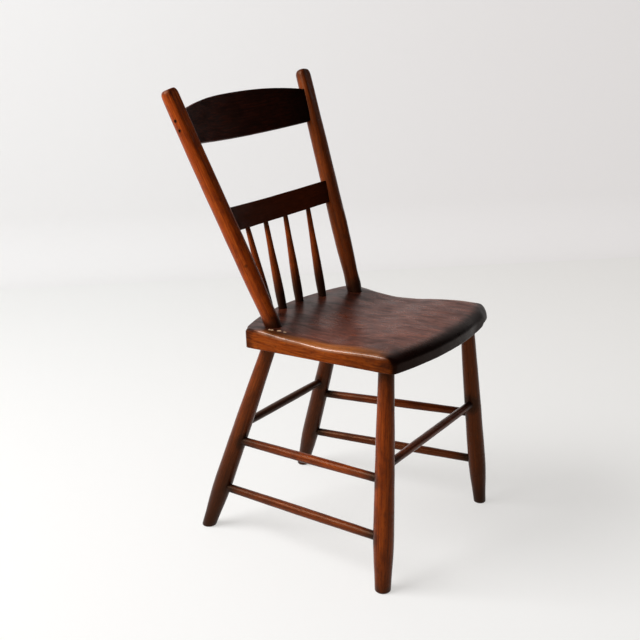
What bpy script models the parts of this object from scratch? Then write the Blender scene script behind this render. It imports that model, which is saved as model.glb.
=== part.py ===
import math

import bmesh
import bpy
from mathutils import Matrix, Vector

# A plank seat chair with a half spindle back. Metres, +Z up, the sitter faces -Y.
# The floor is z = 0, and the chair's own right side is -X.

# Fits
CLEARANCE = 0.0003
OVERRUN = 0.02

# Seat plank, measured on its underside, which slopes down to the back
SEAT_HEIGHT = 0.3967
SEAT_SLOPE = math.radians(2.3)
SEAT_FRONT_WIDTH = 0.392
SEAT_REAR_WIDTH = 0.362
SEAT_FRONT_Y = -0.2221
SEAT_SIDE_LENGTH = 0.313
SEAT_FRONT_BOW = 0.0273
SEAT_REAR_BOW = 0.0366
SEAT_THICKNESS = 0.0365
SEAT_NOSE_DEPTH = 0.024
SEAT_NOSE_DROP = 0.019
SEAT_NOSE_HEIGHT = 0.0315
SEAT_FRONT_CORNER_RADIUS_RIGHT = 0.013
SEAT_FRONT_CORNER_RADIUS_LEFT = 0.026
SEAT_REAR_CORNER_RADIUS = 0.0065
SEAT_NOSE_PROUD = 0.0012

# Legs: where their axes meet the floor and the underside of the seat
FRONT_FOOT_HALF_SPREAD = 0.208
FRONT_FOOT_Y = -0.2159
FRONT_HEAD_HALF_SPREAD = 0.1615
FRONT_HEAD_Y = -0.1897
REAR_FOOT_HALF_SPREAD = 0.174
REAR_FOOT_Y = 0.1985
REAR_HEAD_HALF_SPREAD = 0.1225
REAR_HEAD_Y = 0.0763
LEG_RADIUS = 0.0175
LEG_HEAD_RADIUS = 0.0127
LEG_FOOT_RADIUS = 0.0122
LEG_SOCKET_DEPTH = 0.02
LEG_FOOT_ALLOWANCE = 0.012
LEG_ARRIS = 0.0015

# Stretchers: heights of their axes where they enter the legs
SIDE_UPPER_FRONT_HEIGHT = 0.202
SIDE_UPPER_REAR_HEIGHT = 0.188
SIDE_LOWER_FRONT_HEIGHT = 0.0965
SIDE_LOWER_REAR_HEIGHT = 0.088
FRONT_STRETCHER_HEIGHT = 0.226
REAR_STRETCHER_HEIGHT = 0.22
SIDE_STRETCHER_RADIUS = 0.008
CROSS_STRETCHER_RADIUS = 0.0077
STRETCHER_END_GAP = 0.002
STRETCHER_ARRIS = 0.001

# Back posts: they lean back by the rake and outward by the splay
POST_BASE_HALF_SPREAD = 0.1466
POST_BASE_Y = 0.0541
POST_RAKE = math.radians(21.86)
POST_SPLAY = math.radians(8.63)
POST_LENGTH = 0.459
LEFT_POST_EXTRA = 0.006
POST_RADIUS = 0.0159
POST_FOOT_RADIUS = 0.0133
POST_SOCKET_DEPTH = 0.024
POST_TIP_ROUND = 0.011
FACET_DEPTH = 0.0074
FACET_START_SHARE = 0.36

# Rails: set out up the leaning back, the crest from the tips of the posts and the mid rail by a share of them
CREST_BELOW_TIP = 0.0433
CREST_END_HEIGHT = 0.0619
CREST_ARCH = 0.0245
ARCH_POWER = 2.5
CREST_BOW = 0.0272
CREST_THICKNESS = 0.013
MID_RAIL_PLACE_SHARE = 0.4035
MID_RAIL_HEIGHT = 0.0434
MID_RAIL_BOW = 0.0266
MID_RAIL_THICKNESS = 0.015
RAIL_TENON_PAST_AXIS = 0.004
RAIL_ARRIS = 0.0012

# Spindles: half spreads of the inner and outer pairs at the seat and at the rail
SPINDLE_SEAT_INNER = 0.0298
SPINDLE_SEAT_OUTER = 0.0854
SPINDLE_RAIL_INNER = 0.0337
SPINDLE_RAIL_OUTER = 0.1042
SPINDLE_ARC_BOW = 0.0617
SPINDLE_RADIUS = 0.0083
SPINDLE_TIP_RADIUS = 0.0043
SPINDLE_SOCKET_DEPTH = 0.018
SPINDLE_TENON = 0.01
SPINDLE_ARRIS = 0.0006

# Nails driven from each side through the post into the end of the crest rail
NAIL_RADIUS = 0.0014
NAIL_HEAD_RADIUS = 0.0022
NAIL_HEAD_THICKNESS = 0.001
NAIL_POINT_LENGTH = 0.003
NAIL_LENGTH = 0.028
NAIL_FIRST_HEIGHT = 0.0265
NAIL_PITCH = 0.0177

# Facet counts
LEG_SIDES = 28
POST_SIDES = 28
ROD_SIDES = 20
BORE_SIDES = 28
NAIL_SIDES = 12
ARC_STEPS = 18
CORNER_STEPS = 4
NOSE_STEPS = 6
NOSE_SIDES = 200
SMOOTH_ANGLE = math.radians(35)

# Leg outline: place up the leg, and radius between the foot or head and the swell
LEG_SWELL_SHARE = 0.24
LEG_LOWER_SHARES = ((0.0, 0.0), (0.075, 0.33), (0.15, 0.76), (LEG_SWELL_SHARE, 1.0))
LEG_UPPER_SHARES = ((0.42, 0.87), (0.56, 0.74), (0.68, 0.57), (0.8, 0.32), (0.91, 0.1), (1.0, 0.0))

# Post outline: place up the post, and radius from its foot's to its full one
POST_SHARES = ((0.0, 0.0), (0.07, 0.1), (0.16, 0.46), (0.27, 0.88), (0.38, 1.0), (0.7, 0.97), (0.9, 0.92))

# Spindle outline: place up the spindle, and radius from its tip's to its full one
SPINDLE_SHARES = (
    (0.0, 0.84), (0.1, 0.98), (0.2, 1.0), (0.35, 0.88), (0.5, 0.69),
    (0.64, 0.46), (0.79, 0.24), (0.92, 0.1), (1.0, 0.0),
)

# Leg girths: the turner's four legs are not quite alike
LEG_GIRTH_SHARES = {
    ("front", "right"): 1.045, ("front", "left"): 0.985, ("rear", "right"): 1.0, ("rear", "left"): 0.985,
}

# Top of the seat: place from its front corners to its rear ones, thickness at the right and the left
SADDLE_SHARES = (
    (-0.2, 0.86, 0.84), (0.04, 0.872, 0.845), (0.17, 0.877, 0.868), (0.265, 0.85, 0.848),
    (0.365, 0.803, 0.79), (0.45, 0.755, 0.728), (0.53, 0.775, 0.712), (0.62, 0.865, 0.714),
    (0.7, 0.945, 0.79), (0.785, 0.985, 0.885), (0.87, 0.985, 0.94), (1.0, 0.965, 0.915), (1.3, 0.94, 0.87),
)

# Worn side edges of the seat: place from the middle to the side, and how far the top has dropped
CROWN_SHARES = (
    (-1.1, 0.34), (-1.0, 0.15), (-0.965, 0.06), (-0.925, 0.0), (0.0, 0.0), (0.86, 0.0), (0.91, 0.034),
    (0.955, 0.11), (1.0, 0.22), (1.1, 0.5),
)
CROWN_FADE_SHARES = (0.74, 0.96)

SIDES = (("right", -1), ("left", 1))


def clear_scene():
    for obj in list(bpy.data.objects):
        bpy.data.objects.remove(obj, do_unlink=True)


def new_collection(name):
    collection = bpy.data.collections.new(name)
    bpy.context.scene.collection.children.link(collection)
    return collection


clear_scene()
chair_parts = new_collection("spindle_back_chair")
chair_cutters = new_collection("spindle_back_chair_cutters")


def keep(obj, collection):
    for other in list(obj.users_collection):
        other.objects.unlink(obj)
    collection.objects.link(obj)
    if collection is chair_cutters:
        obj.hide_render = True
        obj.display_type = "WIRE"
    return obj


def empty(name, matrix):
    guide = bpy.data.objects.new(name, None)
    guide.matrix_world = matrix
    return keep(guide, chair_parts)


def material(name, colour, roughness, metallic=0.0):
    made = bpy.data.materials.new(name)
    made.use_nodes = True
    shader = made.node_tree.nodes["Principled BSDF"]
    shader.inputs["Base Color"].default_value = (*colour, 1.0)
    shader.inputs["Roughness"].default_value = roughness
    shader.inputs["Metallic"].default_value = metallic
    return made


def finish(obj, made):
    obj.data.materials.clear()
    obj.data.materials.append(made)
    obj.data.shade_smooth()
    obj.data.set_sharp_from_angle(angle=SMOOTH_ANGLE)
    return obj


# Modifiers


def combine(obj, other, operation):
    joint = obj.modifiers.new(other.name, "BOOLEAN")
    joint.operation = operation
    joint.solver = "EXACT"
    joint.object = other


def cut(obj, *cutters):
    for cutter in cutters:
        combine(obj, cutter, "DIFFERENCE")


def ease_edges(obj, width, segments=2):
    eased = obj.modifiers.new("eased edges", "BEVEL")
    eased.width = width
    eased.segments = segments
    eased.limit_method = "ANGLE"
    eased.angle_limit = math.radians(45)


# Basic solids


def smooth_through(shares, steps):
    # A Catmull-Rom curve through the pairs, sampled at equal places
    pairs = [shares[0], *shares, shares[-1]]
    points = []
    for index in range(1, len(pairs) - 2):
        before, start, end, after = pairs[index - 1:index + 3]
        for step in range(steps):
            t = step / steps
            points.append(tuple(
                0.5 * (2 * b + (c - a) * t + (2 * a - 5 * b + 4 * c - d) * t * t
                       + (3 * b - a - 3 * c + d) * t ** 3)
                for a, b, c, d in zip(before, start, end, after)
            ))
    points.append(shares[-1])
    return points


def turned(name, outline, sides, collection):
    # The outline is (radius, height) pairs from the top down, closed at the axis
    bm = bmesh.new()
    path = [bm.verts.new((radius, 0, height)) for radius, height in outline]
    for upper, lower in zip(path, path[1:]):
        bm.edges.new((upper, lower))
    mesh = bpy.data.meshes.new(name)
    bm.to_mesh(mesh)
    bm.free()
    obj = keep(bpy.data.objects.new(name, mesh), collection)
    lathe = obj.modifiers.new("turned", "SCREW")
    lathe.axis = "Z"
    lathe.angle = math.tau
    lathe.steps = sides
    lathe.render_steps = sides
    lathe.use_merge_vertices = True
    lathe.merge_threshold = 0.00001
    return obj


def flat_solid(name, points, depth, collection):
    # A closed outline in the object's own XY plane, thickened equally both ways
    curve = bpy.data.curves.new(name, "CURVE")
    curve.dimensions = "2D"
    curve.fill_mode = "BOTH"
    curve.extrude = depth / 2
    spline = curve.splines.new("POLY")
    spline.points.add(len(points) - 1)
    for point, (x, y) in zip(spline.points, points):
        point.co = (x, y, 0, 1)
    spline.use_cyclic_u = True
    drawn = keep(bpy.data.objects.new(name + "_outline", curve), collection)
    bpy.context.view_layer.update()
    mesh = bpy.data.meshes.new_from_object(drawn.evaluated_get(bpy.context.evaluated_depsgraph_get()))
    bm = bmesh.new()
    bm.from_mesh(mesh)
    bmesh.ops.remove_doubles(bm, verts=bm.verts, dist=0.00001)
    bmesh.ops.recalc_face_normals(bm, faces=bm.faces)
    bm.to_mesh(mesh)
    bm.free()
    bpy.data.objects.remove(drawn)
    mesh.name = name
    return keep(bpy.data.objects.new(name, mesh), collection)


def block(name, size, collection):
    bm = bmesh.new()
    bmesh.ops.create_cube(bm, size=1, matrix=Matrix.Diagonal((*size, 1)))
    mesh = bpy.data.meshes.new(name)
    bm.to_mesh(mesh)
    bm.free()
    return keep(bpy.data.objects.new(name, mesh), collection)


def stand(obj, start, end):
    # The object's own Z runs from start towards end
    obj.location = start
    obj.rotation_euler = (end - start).to_track_quat("Z", "Y").to_euler()
    return obj


def bore(name, start, end, radius):
    outline = ((0, (end - start).length), (radius, (end - start).length), (radius, 0), (0, 0))
    return stand(turned(name, outline, BORE_SIDES, chair_cutters), start, end)


# Seat


def arc_radius(half_width, bow):
    return (half_width ** 2 + bow ** 2) / (2 * bow)


def underside_height(y):
    return SEAT_HEIGHT - y * math.tan(SEAT_SLOPE)


def rear_top_height(y):
    # The rear of the top is flat, so posts and spindles stand at full thickness
    return underside_height(y) + SEAT_THICKNESS / math.cos(SEAT_SLOPE)


def bowed_edge(half_width, y, bow):
    # From -X to +X, with the middle of the edge lying bow beyond y
    radius = arc_radius(half_width, abs(bow))
    reach = math.asin(half_width / radius)
    sign = math.copysign(1, bow)
    points = []
    for step in range(ARC_STEPS + 1):
        turn = reach * (2 * step / ARC_STEPS - 1)
        points.append(Vector((radius * math.sin(turn), y + bow - sign * radius * (1 - math.cos(turn)))))
    return points


def seat_half_width(y):
    place = (y - SEAT_FRONT_Y) / SEAT_SIDE_LENGTH
    return (SEAT_FRONT_WIDTH + (SEAT_REAR_WIDTH - SEAT_FRONT_WIDTH) * place) / 2


def rounded_corner(before, corner, after, radius):
    to_before = (before - corner).normalized()
    to_after = (after - corner).normalized()
    half = to_before.angle(to_after) / 2
    centre = corner + (to_before + to_after).normalized() * (radius / math.sin(half))
    first = corner + to_before * (radius / math.tan(half)) - centre
    turn = first.angle_signed(corner + to_after * (radius / math.tan(half)) - centre)
    points = []
    for step in range(CORNER_STEPS + 1):
        points.append(centre + Matrix.Rotation(-turn * step / CORNER_STEPS, 2) @ first)
    return points


def seat_outline():
    rear_y = SEAT_FRONT_Y + SEAT_SIDE_LENGTH
    front = bowed_edge(SEAT_FRONT_WIDTH / 2, SEAT_FRONT_Y, -SEAT_FRONT_BOW)
    rear = bowed_edge(SEAT_REAR_WIDTH / 2, rear_y, SEAT_REAR_BOW)[::-1]
    points = rounded_corner(rear[-1], front[0], front[1], SEAT_FRONT_CORNER_RADIUS_RIGHT)
    points += front[1:-1]
    points += rounded_corner(front[-2], front[-1], rear[0], SEAT_FRONT_CORNER_RADIUS_LEFT)
    points += rounded_corner(front[-1], rear[0], rear[1], SEAT_REAR_CORNER_RADIUS)
    points += rear[1:-1]
    points += rounded_corner(rear[-2], rear[-1], front[0], SEAT_REAR_CORNER_RADIUS)
    return points


def crown_fade(place):
    # The worn edges run out towards the posts
    start, end = CROWN_FADE_SHARES
    t = min(max((end - place) / (end - start), 0), 1)
    return t * t * (3 - 2 * t)


def seat_top_block():
    # The dished top over a flat base, lofted along the seat and well past its outline
    bm = bmesh.new()
    rows = []
    for place, right, left in smooth_through(SADDLE_SHARES, 2):
        y = SEAT_FRONT_Y + place * SEAT_SIDE_LENGTH
        row = []
        for across, drop in CROWN_SHARES:
            share = right + (left - right) * (across + 1) / 2 - drop * crown_fade(place)
            row.append(bm.verts.new((across * seat_half_width(y), y, share * SEAT_THICKNESS)))
        rows.append(row)
    for front, back in zip(rows, rows[1:]):
        for a, b, c, d in zip(front, front[1:], back[1:], back):
            bm.faces.new((a, b, c, d))
    base = bmesh.ops.extrude_face_region(bm, geom=bm.faces[:])
    for item in base["geom"]:
        if isinstance(item, bmesh.types.BMVert):
            item.co.z = 0
    bmesh.ops.recalc_face_normals(bm, faces=bm.faces)
    mesh = bpy.data.meshes.new("seat_top_block")
    bm.to_mesh(mesh)
    bm.free()
    return keep(bpy.data.objects.new("seat_top_block", mesh), chair_cutters)


def seat_nose_disc():
    # A wide disc whose rolled rim follows the bowed front edge
    radius = arc_radius(SEAT_FRONT_WIDTH / 2, SEAT_FRONT_BOW)
    outline = [(0, SEAT_NOSE_HEIGHT + SEAT_THICKNESS)]
    for step in range(NOSE_STEPS + 1):
        turn = math.pi / 2 * step / NOSE_STEPS
        outline.append((
            radius + SEAT_NOSE_PROUD - SEAT_NOSE_DEPTH * (1 - math.sin(turn)),
            SEAT_NOSE_HEIGHT - SEAT_NOSE_DROP * (1 - math.cos(turn)),
        ))
    outline += [(outline[-1][0], -OVERRUN), (0, -OVERRUN)]
    disc = turned("seat_nose_disc", outline, NOSE_SIDES, chair_cutters)
    disc.location = (0, SEAT_FRONT_Y - SEAT_FRONT_BOW + radius, 0)
    return disc


def make_seat(sockets):
    frame = empty(
        "seat_frame",
        Matrix.Translation((0, 0, SEAT_HEIGHT)) @ Matrix.Rotation(-SEAT_SLOPE, 4, "X"),
    )
    seat = flat_solid("seat", seat_outline(), 2 * (SEAT_THICKNESS + OVERRUN), chair_parts)
    top = seat_top_block()
    nose = seat_nose_disc()
    for piece in (seat, top, nose):
        piece.parent = frame
    combine(seat, top, "INTERSECT")
    combine(seat, nose, "INTERSECT")
    cut(seat, *sockets)
    return finish(seat, material("seat plank", (0.17, 0.085, 0.055), 0.42))


# Legs and stretchers


def leg_axis(end, side):
    if end == "front":
        foot = Vector((side * FRONT_FOOT_HALF_SPREAD, FRONT_FOOT_Y, 0))
        head = Vector((side * FRONT_HEAD_HALF_SPREAD, FRONT_HEAD_Y, underside_height(FRONT_HEAD_Y)))
    else:
        foot = Vector((side * REAR_FOOT_HALF_SPREAD, REAR_FOOT_Y, 0))
        head = Vector((side * REAR_HEAD_HALF_SPREAD, REAR_HEAD_Y, underside_height(REAR_HEAD_Y)))
    return foot, head


def on_leg(end, side, height):
    foot, head = leg_axis(end, side)
    return foot.lerp(head, height / head.z)


def leg_outline(length, girth):
    foot, swell, neck = LEG_FOOT_RADIUS * girth, LEG_RADIUS * girth, LEG_HEAD_RADIUS * girth
    lower = [(place, foot + share * (swell - foot)) for place, share in LEG_LOWER_SHARES]
    upper = [(place, neck + share * (swell - neck)) for place, share in LEG_UPPER_SHARES]
    body = [(radius, place * length) for place, radius in smooth_through(lower + upper, 2)]
    head = length + LEG_SOCKET_DEPTH
    return [
        (0, head), (neck - LEG_ARRIS, head), (neck, head - LEG_ARRIS),
        *reversed(body),
        (foot, -LEG_FOOT_ALLOWANCE), (0, -LEG_FOOT_ALLOWANCE),
    ]


def make_leg(end, side_name, side, floor, bores):
    foot, head = leg_axis(end, side)
    girth = LEG_GIRTH_SHARES[end, side_name]
    outline = leg_outline((head - foot).length, girth)
    leg = turned(f"{end}_leg_{side_name}", outline, LEG_SIDES, chair_parts)
    stand(leg, foot, head)
    cut(leg, floor)
    ease_edges(leg, LEG_ARRIS)
    cut(leg, *bores)
    finish(leg, material(f"{end} leg {side_name}", (0.27, 0.115, 0.055), 0.38))
    direction = (head - foot).normalized()
    return bore(
        f"{leg.name}_socket", foot.lerp(head, 0.5),
        head + direction * (LEG_SOCKET_DEPTH + CLEARANCE), LEG_HEAD_RADIUS * girth + CLEARANCE,
    )


def make_stretcher(name, start, end, radius):
    # It stops short of both leg axes, so that rods at one leg never meet
    along = (end - start).normalized()
    first = start + along * STRETCHER_END_GAP
    last = end - along * STRETCHER_END_GAP
    length = (last - first).length
    outline = (
        (0, length), (radius - STRETCHER_ARRIS, length), (radius, length - STRETCHER_ARRIS),
        (radius, length / 2), (radius, STRETCHER_ARRIS), (radius - STRETCHER_ARRIS, 0), (0, 0),
    )
    rod = stand(turned(name, outline, ROD_SIDES, chair_parts), first, last)
    finish(rod, material(name.replace("_", " "), (0.24, 0.1, 0.05), 0.4))
    return bore(f"{name}_bore", first - along * CLEARANCE, last + along * CLEARANCE, radius + CLEARANCE)


def make_stretchers():
    bores = {}
    heights = {
        "upper": (SIDE_UPPER_FRONT_HEIGHT, SIDE_UPPER_REAR_HEIGHT),
        "lower": (SIDE_LOWER_FRONT_HEIGHT, SIDE_LOWER_REAR_HEIGHT),
    }
    for side_name, side in SIDES:
        for level, (front_height, rear_height) in heights.items():
            made = make_stretcher(
                f"side_stretcher_{side_name}_{level}",
                on_leg("front", side, front_height), on_leg("rear", side, rear_height),
                SIDE_STRETCHER_RADIUS,
            )
            bores.setdefault(("front", side), []).append(made)
            bores.setdefault(("rear", side), []).append(made)
    for end, height in (("front", FRONT_STRETCHER_HEIGHT), ("rear", REAR_STRETCHER_HEIGHT)):
        made = make_stretcher(
            f"{end}_stretcher", on_leg(end, -1, height), on_leg(end, 1, height), CROSS_STRETCHER_RADIUS,
        )
        for side_name, side in SIDES:
            bores[(end, side)].append(made)
    return bores


def make_legs(bores):
    floor_size = 2 * (REAR_FOOT_Y - FRONT_FOOT_Y)
    floor = block("floor_level", (floor_size, floor_size, 2 * LEG_FOOT_ALLOWANCE), chair_cutters)
    floor.location = (0, 0, -LEG_FOOT_ALLOWANCE)
    return [
        make_leg(end, side_name, side, floor, bores[(end, side)])
        for end in ("front", "rear") for side_name, side in SIDES
    ]


# Back


back_place = (
    Matrix.Translation((0, POST_BASE_Y, rear_top_height(POST_BASE_Y)))
    @ Matrix.Rotation(-POST_RAKE, 4, "X")
)


crest_bottom = POST_LENGTH - CREST_BELOW_TIP - CREST_END_HEIGHT
mid_rail_bottom = POST_LENGTH * MID_RAIL_PLACE_SHARE


def post_half_spread(height):
    return POST_BASE_HALF_SPREAD + height * math.tan(POST_SPLAY)


def rail_plan(reach, span, bow, thickness):
    # A bent strip seen from above: its middle lies bow behind the posts
    radius = arc_radius(span, bow)
    turn = math.asin(reach / radius)
    edges = []
    for across in (-thickness / 2, thickness / 2):
        edge = []
        for step in range(ARC_STEPS + 1):
            angle = turn * (2 * step / ARC_STEPS - 1)
            edge.append((
                (radius + across) * math.sin(angle),
                bow - radius + (radius + across) * math.cos(angle),
            ))
        edges.append(edge)
    return edges[0] + edges[1][::-1]


def rail_face(bottom, height, arch, grow):
    # The board seen square on: slanted ends inside the posts, the top edge arched
    low = bottom - grow
    high = bottom + height + grow
    low_end = post_half_spread(low) + RAIL_TENON_PAST_AXIS + grow
    high_end = post_half_spread(high) + RAIL_TENON_PAST_AXIS + grow
    points = [(-low_end, low), (low_end, low)]
    for step in range(ARC_STEPS + 1):
        x = high_end * (1 - 2 * step / ARC_STEPS)
        points.append((x, high + arch * (1 - abs(x / high_end) ** ARCH_POWER)))
    return points


def rail_solid(name, bottom, height, arch, bow, thickness, grow, collection, parent):
    middle = bottom + height / 2
    reach = post_half_spread(bottom + height + arch) + RAIL_TENON_PAST_AXIS + OVERRUN
    depth = 2 * (height + arch + OVERRUN)
    strip = flat_solid(
        name, rail_plan(reach, post_half_spread(middle), bow, thickness + 2 * grow), depth, collection,
    )
    strip.location = (0, 0, middle)
    face = flat_solid(
        f"{name}_face", rail_face(bottom, height, arch, grow), 2 * (bow + thickness + OVERRUN), chair_cutters,
    )
    face.rotation_euler = (math.pi / 2, 0, 0)
    strip.parent = parent
    face.parent = parent
    combine(strip, face, "INTERSECT")
    return strip


def nail_outline(grow):
    head = NAIL_HEAD_RADIUS + grow
    shank = NAIL_RADIUS + grow
    neck = NAIL_LENGTH - NAIL_HEAD_THICKNESS - grow
    end = NAIL_LENGTH + (OVERRUN if grow else 0)
    return (
        (0, end), (head, end), (head, neck), (shank, neck), (shank, NAIL_POINT_LENGTH), (0, -grow),
    )


def make_nails(frame):
    cutters = {}
    steel = material("nails", (0.05, 0.035, 0.03), 0.55, 0.7)
    for side_name, side in SIDES:
        for level, height in (("lower", NAIL_FIRST_HEIGHT), ("upper", NAIL_FIRST_HEIGHT + NAIL_PITCH)):
            up = crest_bottom + height
            outside = Vector((side * (post_half_spread(up) + POST_RADIUS), 0, up))
            inside = outside - Vector((side * NAIL_LENGTH, 0, 0))
            name = f"crest_nail_{side_name}_{level}"
            nail = stand(turned(name, nail_outline(0), NAIL_SIDES, chair_parts), inside, outside)
            hole = stand(turned(f"{name}_hole", nail_outline(CLEARANCE), NAIL_SIDES, chair_cutters), inside, outside)
            nail.parent = frame
            hole.parent = frame
            finish(nail, steel)
            cutters.setdefault(side, []).append(hole)
    return cutters


def post_outline(length):
    body = [
        (POST_FOOT_RADIUS + share * (POST_RADIUS - POST_FOOT_RADIUS), place * length)
        for place, share in smooth_through(POST_SHARES, 2)
    ]
    shoulder = body[-1][0]
    tip = [(shoulder, length - POST_TIP_ROUND)]
    for turn in (0.25, 0.5, 0.75, 1.0):
        angle = turn * math.pi / 2
        tip.append((
            shoulder - shoulder * 0.42 * (1 - math.cos(angle)),
            length - POST_TIP_ROUND * (1 - math.sin(angle)),
        ))
    return [
        (0, length), *reversed(tip), *reversed(body),
        (POST_FOOT_RADIUS, -POST_SOCKET_DEPTH), (0, -POST_SOCKET_DEPTH),
    ]


def facet_cutter(name):
    # A plane that shaves the front of the post ever deeper towards its tip
    base = FACET_START_SHARE * POST_LENGTH
    length = POST_LENGTH + LEFT_POST_EXTRA - base
    slant = math.atan(FACET_DEPTH / length)
    shave = block(name, (3 * POST_RADIUS, POST_RADIUS, 2 * length), chair_cutters)
    start = Vector((0, -POST_RADIUS, base))
    along = Vector((0, math.sin(slant), math.cos(slant)))
    outward = Vector((0, -math.cos(slant), math.sin(slant)))
    shave.location = start + along * length + outward * (POST_RADIUS / 2)
    shave.rotation_euler = (-slant, 0, 0)
    return shave


def make_post(side_name, side, frame, mortises, nail_holes):
    length = POST_LENGTH + (LEFT_POST_EXTRA if side > 0 else 0)
    post = turned(f"back_post_{side_name}", post_outline(length), POST_SIDES, chair_parts)
    post.location = (side * POST_BASE_HALF_SPREAD, 0, 0)
    post.rotation_euler = (0, side * POST_SPLAY, 0)
    post.parent = frame
    facet = facet_cutter(f"{post.name}_facet")
    facet.parent = post
    cut(post, facet, *mortises, *nail_holes)
    finish(post, material(f"back post {side_name}", (0.24, 0.1, 0.05), 0.36))
    foot = Vector((side * POST_BASE_HALF_SPREAD, 0, 0))
    along = Vector((side * math.sin(POST_SPLAY), 0, math.cos(POST_SPLAY)))
    bottom = back_place @ (foot - along * (POST_SOCKET_DEPTH + CLEARANCE))
    top = back_place @ (foot + along * 2 * POST_SOCKET_DEPTH)
    return bore(f"{post.name}_socket", bottom, top, POST_FOOT_RADIUS + CLEARANCE)


def spindle_ends(seat_x, rail_x):
    foot_y = POST_BASE_Y + SPINDLE_ARC_BOW * (1 - (seat_x / POST_BASE_HALF_SPREAD) ** 2)
    foot = Vector((seat_x, foot_y, rear_top_height(foot_y)))
    radius = arc_radius(post_half_spread(mid_rail_bottom + MID_RAIL_HEIGHT / 2), MID_RAIL_BOW)
    rail_y = MID_RAIL_BOW - radius + math.sqrt(radius ** 2 - rail_x ** 2)
    return foot, back_place @ Vector((rail_x, rail_y, mid_rail_bottom))


def spindle_outline(length):
    body = [
        (SPINDLE_TIP_RADIUS + share * (SPINDLE_RADIUS - SPINDLE_TIP_RADIUS), place * length)
        for place, share in smooth_through(SPINDLE_SHARES, 1)
    ]
    top = length + SPINDLE_TENON
    base = body[0][0]
    return [
        (0, top), (SPINDLE_TIP_RADIUS - SPINDLE_ARRIS, top), (SPINDLE_TIP_RADIUS, top - SPINDLE_ARRIS),
        *reversed(body),
        (base, SPINDLE_ARRIS - SPINDLE_SOCKET_DEPTH), (base - SPINDLE_ARRIS, -SPINDLE_SOCKET_DEPTH),
        (0, -SPINDLE_SOCKET_DEPTH),
    ]


def make_spindles():
    places = (
        (-SPINDLE_SEAT_OUTER, -SPINDLE_RAIL_OUTER), (-SPINDLE_SEAT_INNER, -SPINDLE_RAIL_INNER),
        (SPINDLE_SEAT_INNER, SPINDLE_RAIL_INNER), (SPINDLE_SEAT_OUTER, SPINDLE_RAIL_OUTER),
    )
    seat_bores = []
    rail_bores = []
    for number, (seat_x, rail_x) in enumerate(places, start=1):
        foot, tip = spindle_ends(seat_x, rail_x)
        along = (tip - foot).normalized()
        name = f"spindle_{number}"
        outline = spindle_outline((tip - foot).length)
        spindle = stand(turned(name, outline, ROD_SIDES, chair_parts), foot, tip)
        finish(spindle, material(f"spindle {number}", (0.2, 0.085, 0.045), 0.4))
        base = outline[-2][0] + SPINDLE_ARRIS
        seat_bores.append(bore(
            f"{name}_seat_bore", foot - along * (SPINDLE_SOCKET_DEPTH + CLEARANCE),
            foot + along * SPINDLE_SOCKET_DEPTH, base + CLEARANCE,
        ))
        rail_bores.append(bore(
            f"{name}_rail_bore", tip - along * OVERRUN,
            tip + along * (SPINDLE_TENON + CLEARANCE), SPINDLE_TIP_RADIUS + CLEARANCE,
        ))
    return seat_bores, rail_bores


def make_back(rail_bores):
    frame = empty("back_frame", back_place)
    nail_holes = make_nails(frame)
    crest_size = (crest_bottom, CREST_END_HEIGHT, CREST_ARCH, CREST_BOW, CREST_THICKNESS)
    mid_size = (mid_rail_bottom, MID_RAIL_HEIGHT, 0, MID_RAIL_BOW, MID_RAIL_THICKNESS)
    crest = rail_solid("crest_rail", *crest_size, 0, chair_parts, frame)
    mid_rail = rail_solid("mid_rail", *mid_size, 0, chair_parts, frame)
    mortises = (
        rail_solid("crest_mortise", *crest_size, CLEARANCE, chair_cutters, frame),
        rail_solid("mid_rail_mortise", *mid_size, CLEARANCE, chair_cutters, frame),
    )
    ease_edges(crest, RAIL_ARRIS)
    ease_edges(mid_rail, RAIL_ARRIS)
    for side_name, side in SIDES:
        cut(crest, *nail_holes[side])
    cut(mid_rail, *rail_bores)
    finish(crest, material("crest rail", (0.06, 0.028, 0.02), 0.4))
    finish(mid_rail, material("mid rail", (0.06, 0.028, 0.02), 0.4))
    return [
        make_post(side_name, side, frame, mortises, nail_holes[side])
        for side_name, side in SIDES
    ]


def make_chair():
    leg_sockets = make_legs(make_stretchers())
    seat_bores, rail_bores = make_spindles()
    post_sockets = make_back(rail_bores)
    make_seat([*leg_sockets, *post_sockets, *seat_bores])
    bpy.context.view_layer.update()


make_chair()
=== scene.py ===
import math

import bpy
from mathutils import Matrix, Vector


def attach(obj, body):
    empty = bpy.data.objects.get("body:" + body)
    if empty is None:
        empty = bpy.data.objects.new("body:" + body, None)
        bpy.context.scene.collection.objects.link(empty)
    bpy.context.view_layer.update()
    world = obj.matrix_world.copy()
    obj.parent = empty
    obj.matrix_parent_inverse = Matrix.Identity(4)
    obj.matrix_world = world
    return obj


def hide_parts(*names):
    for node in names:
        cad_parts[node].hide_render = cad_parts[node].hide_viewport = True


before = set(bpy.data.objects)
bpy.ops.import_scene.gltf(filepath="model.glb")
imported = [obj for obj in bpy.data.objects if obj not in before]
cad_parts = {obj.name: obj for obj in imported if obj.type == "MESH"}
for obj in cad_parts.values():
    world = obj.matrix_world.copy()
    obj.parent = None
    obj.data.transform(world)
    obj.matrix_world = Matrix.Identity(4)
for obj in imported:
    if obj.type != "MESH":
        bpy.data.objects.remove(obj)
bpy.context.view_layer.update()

# An old plank seat chair with a half spindle back: stained and varnished wood, worn by use.
# Metres, +Z up, the sitter faces -Y, and the chair's own right side is -X.

sides = {"right": -1, "left": 1}


# Small tools

def pick(piece):
    bpy.ops.object.select_all(action="DESELECT")
    piece.select_set(True)
    bpy.context.view_layer.objects.active = piece


def openMesh():
    bpy.ops.object.mode_set(mode="EDIT")
    bpy.ops.mesh.select_all(action="SELECT")


def closeMesh():
    bpy.ops.object.mode_set(mode="OBJECT")


def nameIt(name):
    piece = bpy.context.object
    piece.name = piece.data.name = name
    return piece


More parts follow.
